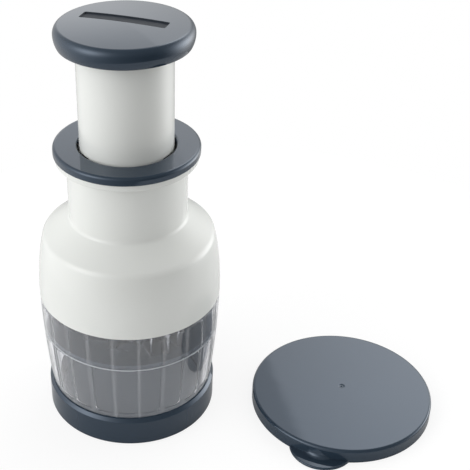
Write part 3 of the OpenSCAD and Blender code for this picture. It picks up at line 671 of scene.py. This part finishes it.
# Profile turned round the axis, each point of its inside then pushed out by the panels or in by the
# ribs. The parts of the profile meet with small gaps, so that no two of their points fall together
def cupMesh():
    c = cup
    up = np.linspace(c["low"], c["seam"], 28)
    outside = np.stack([cupFlank(up), up], axis=-1)
    foot = softProfile([(c["footIn"], cupLow, 0.3), (c["footOut"], cupLow, 0.3),
                        (c["footOut"], c["footShoulder"], 0.2), (c["lowRadius"], c["low"], 0)],
                       closed=False)[1:-1]
    spigot = softProfile([(*outside[-1], 0), (c["spigotOut"], c["seam"], 0.15),
                          (c["spigotOut"], cupHigh, 0.3), (c["spigotIn"], cupHigh, 0.3),
                          (c["spigotIn"], c["panelTop"] + 0.8, 0)], closed=False)[1:]
    upper = np.linspace(c["panelTop"] + 0.7, c["ledge"] + 0.5, 44)
    upperWall = np.stack([np.full(len(upper), c["spigotIn"]), upper], axis=-1)
    ledgeIn = cupFlank(c["ledge"]) - c["wall"]
    ledge = softProfile([(c["spigotIn"], c["ledge"] + 0.45, 0), (c["spigotIn"], c["ledge"], 0.25),
                         (ledgeIn, c["ledge"], 0.35), (ledgeIn, c["ledge"] - 0.6, 0)], closed=False)
    lower = np.linspace(c["ledge"] - 0.7, c["panelLow"] - 0.7, 60)
    lowerWall = np.stack([np.maximum(c["footIn"], cupFlank(lower) - c["wall"]), lower], axis=-1)
    inside = np.array([[c["footIn"], c["panelLow"] - 1.2], [c["footIn"], cupLow + 0.4]])
    profile = np.vstack([foot, outside, spigot, upperWall, ledge, lowerWall, inside])
    segments = c["ribs"] * c["perRib"]
    grid = turned(profile, segments)
    angle = np.linspace(0, fullTurn, segments, endpoint=False)[:, None]
    radius, level = profile[None, :, 0], profile[None, :, 1]
    isInside = (np.arange(len(profile)) >= len(foot) + len(outside) + len(spigot))[None, :]
    isUpper = isInside & (radius > c["spigotIn"] - 0.3)
    isLower = isInside & (radius < ledgeIn + 0.4) & (level > c["panelLow"] - 1)
    # Panels are sunk outwards above the ledge; below it the ribs stand inwards between them. Both
    # rows run on past the ledge, so that neither ends in a rounding there
    panel = panelShare(angle, level, c["ledge"] - c["panelPast"], c["panelTop"])
    rib = 1 - panelShare(angle, level, c["panelLow"], c["ledge"] + c["panelPast"])
    push = np.where(isUpper, c["panelDepth"] * panel, 0) - np.where(isLower, c["ribDepth"] * rib, 0)
    grid[..., :2] *= (1 + push / radius)[..., None]
    return gridMesh("clearCup", grid)


addPiece("clearCup", cupMesh(), "cup", "clearPlastic", "clear_cup")
print("clear cup made")

# Base cap, cutting board and non-slip pad

baseLow, baseHigh = levels("base_cap")
boardLow, boardHigh = levels("cutting_board")
padLow, padHigh = levels("foot_pad")
base = dict(radius=46, bevel=1.5, bevelHeight=1.8, inside=43.4, ringOut=41.1, ringIn=40.2,
            ringHeight=2, padRadius=38.05, padRecess=1.2, rounding=0.6)
board = dict(rim=1.6, slope=0.6, sink=0.35)
pad = dict(grooves=(33, 27, 21, 15, 9), grooveMouth=1, grooveFloor=0.6, grooveDepth=0.4)


# Cap: a floor with a recess for the pad below it and a low ring round the board, turned
def baseMesh():
    b = base
    recess, ringTop = baseLow + b["padRecess"], boardLow + b["ringHeight"]
    return gridMesh("baseCap", turned(softProfile([
        (0, recess, 0), (b["padRadius"], recess, 0.1), (b["padRadius"], baseLow, 0.3),
        (b["radius"], baseLow, b["rounding"]), (b["radius"], baseHigh - b["bevelHeight"], 0.5),
        (b["radius"] - b["bevel"], baseHigh, 0.4), (b["inside"], baseHigh, 0.4),
        (b["inside"], boardLow, 0.3), (b["ringOut"], boardLow, 0.2), (b["ringOut"], ringTop, 0.2),
        (b["ringIn"], ringTop, 0.2), (b["ringIn"], boardLow, 0.1), (0, boardLow, 0)],
        closed=False)), wrapCols=False)


# Board: a disc with a raised rim, turned
def boardMesh():
    radius = reach("cutting_board")
    rim, floor = radius - board["rim"], boardHigh - board["sink"]
    return gridMesh("cuttingBoard", turned(softProfile([
        (0, boardLow, 0), (radius, boardLow, 0.3), (radius, boardHigh, 0.4), (rim, boardHigh, 0.3),
        (rim - board["slope"], floor, 0.3), (0, floor, 0)], closed=False)), wrapCols=False)


# Pad: a disc with round grooves in its underside, turned
def padMesh():
    radius = reach("foot_pad")
    grooveRoof = padLow + pad["grooveDepth"]
    corners = [(0, padHigh, 0), (radius, padHigh, 0.1), (radius, padLow, 0.4)]
    for middle in pad["grooves"]:
        corners += [(middle + pad["grooveMouth"], padLow, 0.15),
                    (middle + pad["grooveFloor"], grooveRoof, 0.15),
                    (middle - pad["grooveFloor"], grooveRoof, 0.15),
                    (middle - pad["grooveMouth"], padLow, 0.15)]
    corners.append((0, padLow, 0))
    return gridMesh("footPad", turned(softProfile(corners, closed=False)), wrapCols=False)


addPiece("baseCap", baseMesh(), "base", "slatePlastic", "base_cap")
addPiece("cuttingBoard", boardMesh(), "base", "boardPlastic", "cutting_board")
addPiece("footPad", padMesh(), "base", "footRubber", "foot_pad")
print("base made")

# Storage lid with its thumb tab

lid = dict(x=118.1, y=-10.2, radius=49.8, height=8.0, rounding=1.6, wall=1.4, top=1.7,
           plugRadius=45.15, plugLow=1.5, tabRadius=17.4, tabReach=41.0, tabAngle=248.3, tabThick=1.6,
           tabNeck=8.8, tabCove=12, markRadius=1.3, markDepth=0.18, markPlace=(0.6, 2.6))


# Lid: a disc with a skirt and an inner ring, turned; its top sinks and rises at the moulding mark
def lidShell():
    d = lid
    wallIn, plugIn = d["radius"] - d["wall"], d["plugRadius"] - d["wall"]
    roof = d["height"] - d["top"]
    profile = softProfile([
        (0, d["height"], 0), (d["radius"], d["height"], d["rounding"]), (d["radius"], 0, 0.4),
        (wallIn, 0, 0.4), (wallIn, roof, 0.5), (d["plugRadius"], roof, 0.3),
        (d["plugRadius"], d["plugLow"], 0.4), (plugIn, d["plugLow"], 0.4), (plugIn, roof, 0.5),
        (0, roof, 0)], closed=False)
    # Close rings in the middle carry the mark, a dimple round a small bump
    rings = np.concatenate([np.linspace(0, 5, 26), np.linspace(6, 46, 12)])
    top = np.stack([rings, np.full(len(rings), d["height"])], axis=-1)
    grid = turned(np.vstack([top, profile[1:]]), 240)
    away = np.hypot(grid[..., 0] - d["markPlace"][0], grid[..., 1] - d["markPlace"][1])
    away /= d["markRadius"]
    mark = d["markDepth"] * (smooth(1.6 - away) - 1.6 * smooth(1.2 - 2 * away))
    isTop = (np.arange(grid.shape[1]) < len(top))[None, :]
    grid[..., 2] -= np.where(isTop, mark, 0)
    return gridMesh("storageLid", moved(grid, d["x"], d["y"]), wrapCols=False)


# The tab's surface falls from the skirt as a cove: a high power of the way in from its lip
def tabMesh():
    d = lid
    rise = d["height"] - d["rounding"] - d["tabThick"]
    share = np.linspace(0, 1, 22)
    cove = np.stack([d["tabNeck"] + (d["tabRadius"] - d["tabNeck"]) * (1 - share),
                     d["tabThick"] + rise * share ** d["tabCove"]], axis=-1)
    lip = softProfile([(0, 0, 0), (d["tabRadius"], 0, 0.5), (d["tabRadius"], d["tabThick"], 0.6),
                       (*cove[2], 0)], closed=False)
    profile = np.vstack([lip[:-1], cove[2:], [[0, cove[-1][1]]]])
    turn = radians(d["tabAngle"])
    tabX = d["x"] + d["tabReach"] * np.cos(turn)
    tabY = d["y"] + d["tabReach"] * np.sin(turn)
    return gridMesh("tab", moved(turned(profile, 160), tabX, tabY), wrapCols=False)


def innerPlug():  # what the lid's hollow keeps free of the tab
    d = lid
    wallIn, roof, under = d["radius"] - d["wall"] - 0.01, d["height"] - d["top"] - 0.5, -2.0
    profile = np.array([[0, under], [wallIn, under], [wallIn, roof], [0, roof]])
    return gridMesh("plug", moved(turned(profile, 240), d["x"], d["y"]), wrapCols=False)


def wholeLid():  # lid joined to what is left of the tab
    tab = carve(tabMesh(), [innerPlug()])
    return carve(lidShell(), [tab], "UNION")


addPiece("storageLid", wholeLid(), "lid", "slatePlastic", "storage_lid")
print("storage lid made")

# Blade head: zigzag strips, carrier, wiper plate

bladeLow, bladeHigh = levels("blade_1")
wiperLow, wiperHigh = levels("wiper_plate")
carrierLow, carrierHigh = levels("blade_carrier")
blade = dict(outer=37.2, inner=14.0, foldAngle=16, folds=3, foldRounding=1.4, thick=0.8,
             edgeHeight=2.2, edgeThick=0.1, chamfer=0.1, slotGap=0.5, turns=(0, 120, 240),
             pinCircle=38.6, pinAngles=(60, 180, 300), pinHole=2.0, nutHole=7.5, studHole=3.05)


def zigzagPath():  # middle line of a strip, its folds rounded
    corners = np.arange(-blade["folds"], blade["folds"] + 1)
    radius = np.where(np.abs(corners) % 2 == blade["folds"] % 2, blade["outer"], blade["inner"])
    angle = np.radians(corners * blade["foldAngle"])
    points = np.stack([radius * np.cos(angle), radius * np.sin(angle)], axis=-1)
    rows = [points[:1]]
    for i in range(1, len(points) - 1):
        rows.append(cornerArc(points[i - 1], points[i], points[i + 1], blade["foldRounding"], 8))
    rows.append(points[-1:])
    return np.vstack(rows)


def sideways(path):  # unit vectors square to a path, mitred at its corners
    step = np.diff(path, axis=0)
    step /= np.linalg.norm(step, axis=1)[:, None]
    along = np.vstack([step[:1], step[:-1] + step[1:], step[-1:]])
    along /= np.linalg.norm(along, axis=1)[:, None]
    cosHalf = np.concatenate([[1], np.sum(along[1:-1] * step[1:], axis=1), [1]])
    return np.stack([-along[:, 1], along[:, 0]], axis=-1) / cosHalf[:, None]


# Strip swept along the zigzag: its section is flat above and ground to an edge below, and a row of
# width nothing closes each end
def bladeMesh(name, turn):
    path = zigzagPath()
    side = sideways(path)
    half = blade["thick"] / 2
    edge, ground = blade["edgeThick"] / 2, bladeLow + blade["edgeHeight"]
    narrow, top = half - blade["chamfer"], bladeHigh - blade["chamfer"]
    section = np.array([[edge, bladeLow], [half, ground], [half, top], [narrow, bladeHigh],
                        [-narrow, bladeHigh], [-half, top], [-half, ground], [-edge, bladeLow]])
    path, side = [np.vstack([v[:1], v, v[-1:]]) for v in (path, side)]
    closed = np.ones(len(path))
    closed[[0, -1]] = 0
    spread = section[None, :, 0] * closed[:, None]
    grid = np.empty((len(path), len(section), 3))
    grid[..., :2] = path[:, None] + side[:, None] * spread[..., None]
    grid[..., 2] = section[None, :, 1]
    return gridMesh(name, moved(grid, 0, 0, radians(turn)), wrapRows=False, sharpAngle=25)


# Slot for a blade: the zigzag, longer by half the width at both ends, moved half the width each way
def slotOutline(turn, width):
    path = zigzagPath()
    ends = np.vstack([path[0] + unit(path[0] - path[1]) * width / 2, path[1:-1],
                      path[-1] + unit(path[-1] - path[-2]) * width / 2])
    side = sideways(ends) * width / 2
    loop = np.vstack([ends + side, (ends - side)[::-1]])
    c, s = np.cos(radians(turn)), np.sin(radians(turn))
    return loop @ np.array([[c, s], [-s, c]])


# Wiper plate: a disc with a hole for the nut and a slot for each blade
def wiperMesh():
    outlines = [circleOutline(0, 0, reach("wiper_plate"), 192), circleOutline(0, 0, blade["nutHole"])]
    outlines += [slotOutline(turn, blade["thick"] + 2 * blade["slotGap"]) for turn in blade["turns"]]
    return plateMesh("wiperPlate", outlines, wiperLow, wiperHigh, 0.25)


# Blade carrier: a disc with holes for the stud and the three pins
def carrierMesh():
    b = blade
    outlines = [circleOutline(0, 0, reach("blade_carrier"), 192), circleOutline(0, 0, b["studHole"])]
    for angle in np.radians(b["pinAngles"]):
        x, y = b["pinCircle"] * np.cos(angle), b["pinCircle"] * np.sin(angle)
        outlines.append(circleOutline(x, y, b["pinHole"]))
    return plateMesh("bladeCarrier", outlines, carrierLow, carrierHigh, 0.4)


for i, turn in enumerate(blade["turns"], 1):
    strip = bladeMesh(f"blade{i}", turn)
    addPiece(f"blade{i}", strip, "blade_head", "bladeSteel", f"blade_{i}")
addPiece("wiperPlate", wiperMesh(), "wiper", "slatePlastic", "wiper_plate")
addPiece("bladeCarrier", carrierMesh(), "blade_head", "whitePlastic", "blade_carrier")
print("blade head made")

# Return spring, built at the length of its CAD node; the real one shortens with the press

springLow, springHigh = levels("return_spring")
spring = dict(radius=13.5, wire=1.8, turns=10, deadTurns=0.9, easeTurns=0.6, packed=0.98, perTurn=48)


# Wire swept along a helix whose pitch falls to about one wire at both ends; its ends close to points
def springMesh():
    s = spring
    steps = int(s["turns"] * s["perTurn"])
    along = np.linspace(0, s["turns"], steps + 1)
    ends = np.minimum(along, s["turns"] - along)
    openness = smooth((ends - s["deadTurns"]) / s["easeTurns"])
    middle = (openness[1:] + openness[:-1]) / 2
    closedPitch = s["wire"] * s["packed"]
    free = springHigh - springLow - s["wire"] - closedPitch * s["turns"]
    rise = closedPitch * s["turns"] / steps + free * middle / middle.sum()
    height = springLow + s["wire"] / 2 + np.concatenate([[0], np.cumsum(rise)])
    angle = (fullTurn * along)[:, None]
    ring = np.linspace(0, fullTurn, 14, endpoint=False)
    thick = np.full(steps + 1, s["wire"] / 2)
    thick[[0, -1]] = 0
    thick[[1, -2]] *= 0.85
    radius = s["radius"] + thick[:, None] * np.cos(ring)
    level = height[:, None] + thick[:, None] * np.sin(ring)
    grid = np.stack([radius * np.cos(angle), radius * np.sin(angle), level], axis=-1)
    return gridMesh("returnSpring", grid, wrapRows=False)


springPiece = addPiece("returnSpring", springMesh(), "housing", "springSteel",
                       "return_spring")
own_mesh(springPiece)
print("return spring made")

# CAD nodes that stay, with their finish

carried = dict(tube_screws="turnedSteel", thrust_washer="naturalPlastic", guide_bush="naturalPlastic",
               bridge="naturalPlastic", twist_nut="turnedSteel", bridge_screws="turnedSteel",
               blade_shaft="turnedSteel", shaft_clip="springSteel", shaft_nut="turnedSteel",
               wiper_pins="turnedSteel")
for node, finish in carried.items():
    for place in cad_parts[node].material_slots:
        place.material = finishes[finish]
print("carried nodes finished:", len(carried))

# Floor, light and camera

# Floor in metres, and its grey; haze is the room's level at low and high; the panel's edge runs
# through two directions (azimuth, height) in degrees
studio = dict(floorRadius=0.30, floorCentre=(0.05, 0.0), floorGrey=0.77, floorShare=0.72,
              floorGlow=1.14, haze=(0.0, 0.15), hazeHeight=(-0.1, 0.5),
              panelEdge=((83, 39), (80.5, 42.6)), panelSoft=0.004, panelDim=0.6)
# Soft boxes round the object: azimuth and height of the middle in degrees, tightness, level
softBoxes = dict(key=(212, 22, 12, 3.05), sideWall=(175, -2, 1.5, 1.15), backRight=(22, 3, 8.8, 4.5),
                 backWall=(98, 19, 25, 1.15), backPanel=(68, 40, 25, 2.65))


def floorMesh(steps=96):  # one round face on the ground
    rim = circleOutline(*studio["floorCentre"], studio["floorRadius"], steps)
    mesh = bpy.data.meshes.new("floor")
    mesh.from_pydata(np.column_stack([rim, np.zeros(steps)]).tolist(), [], [list(range(steps))])
    return mesh


# Pale floor: lit as any surface, and lifted to white for the rays that show it as background
def floorFinish():
    material, tree, out = blankMaterial("paleFloor")
    lit = addNode(tree, "ShaderNodeBsdfDiffuse", Color=(*[studio["floorGrey"]] * 3, 1))
    glow = addNode(tree, "ShaderNodeEmission", Strength=studio["floorGlow"])
    share = chain(tree, "MULTIPLY", eitherRay(tree, "Camera", "Transmission"), studio["floorShare"])
    blendShaders(tree, share, lit, glow, out)
    return material


floor = bpy.data.objects.new("floor", floorMesh())
scene.collection.objects.link(floor)
floor.data.materials.append(floorFinish())


def towards(azimuth, height):  # unit vector from angles in degrees
    turn, lift = radians(azimuth), radians(height)
    return np.array([cos(lift) * cos(turn), cos(lift) * sin(turn), sin(lift)])


# Cosine of the angle between the light's way and a fixed direction
def alongside(tree, way, direction):
    cosine = addNode(tree, "ShaderNodeVectorMath", {"operation": "DOT_PRODUCT"})
    cosine.inputs[1].default_value = [float(v) for v in direction]
    tree.links.new(way, cosine.inputs[0])
    return cosine.outputs["Value"]


# Room light: a haze that grows with height, plus soft boxes that each fade as
# level x exp(tightness x (cosine of the angle from its middle - 1)); the back panel dims beyond a
# straight edge; plain white as background
def roomLight():
    s = studio
    world = bpy.data.worlds.new("room")
    scene.world = world
    world.use_nodes = True
    tree = world.node_tree
    tree.nodes.clear()
    out = tree.nodes.new("ShaderNodeOutputWorld")
    way = tree.nodes.new("ShaderNodeTexCoord").outputs["Generated"]
    rise = addNode(tree, "ShaderNodeMapRange", From_Min=s["hazeHeight"][0], From_Max=s["hazeHeight"][1],
                   To_Min=s["haze"][0], To_Max=s["haze"][1])
    tree.links.new(alongside(tree, way, (0, 0, 1)), rise.inputs["Value"])
    edge = unit(np.cross(towards(*s["panelEdge"][0]), towards(*s["panelEdge"][1])))
    cut = addNode(tree, "ShaderNodeMapRange", {"interpolation_type": "SMOOTHSTEP"},
                  From_Min=-s["panelSoft"], From_Max=s["panelSoft"], To_Min=s["panelDim"], To_Max=1.0)
    tree.links.new(alongside(tree, way, edge), cut.inputs["Value"])
    level = rise.outputs["Result"]
    for name, (azimuth, height, tightness, strength) in softBoxes.items():
        near = alongside(tree, way, towards(azimuth, height))
        fade = chain(tree, "EXPONENT", chain(tree, "MULTIPLY_ADD", near, tightness, -tightness))
        if name == "backPanel":
            fade = chain(tree, "MULTIPLY", fade, cut.outputs["Result"])
        level = chain(tree, "MULTIPLY_ADD", fade, strength, level)
    room = addNode(tree, "ShaderNodeBackground", Color=(1, 1, 1, 1))
    tree.links.new(level, room.inputs["Strength"])
    white = addNode(tree, "ShaderNodeBackground", Color=(1, 1, 1, 1), Strength=1.0)
    blendShaders(tree, eitherRay(tree, "Camera", "Transmission"), room, white, out)


roomLight()

# Place in mm, pitch in degrees, focal length and the chopper's axis in pixels of the square picture
camera = dict(place=(19.6, -464.2, 400.1), pitch=32.49, focal=1053, pictureSize=470, axisX=166.4,
              sensor=36)
lens = bpy.data.cameras.new("camera")
lens.sensor_width = camera["sensor"]
lens.lens = camera["sensor"] * camera["focal"] / camera["pictureSize"]
lens.shift_x = (camera["pictureSize"] / 2 - camera["axisX"]) / camera["pictureSize"]
viewer = bpy.data.objects.new("camera", lens)
scene.collection.objects.link(viewer)
viewer.location = [v * mm for v in camera["place"]]
viewer.rotation_euler = (radians(90 - camera["pitch"]), 0, 0)
scene.camera = viewer
print("stage, light and camera set")
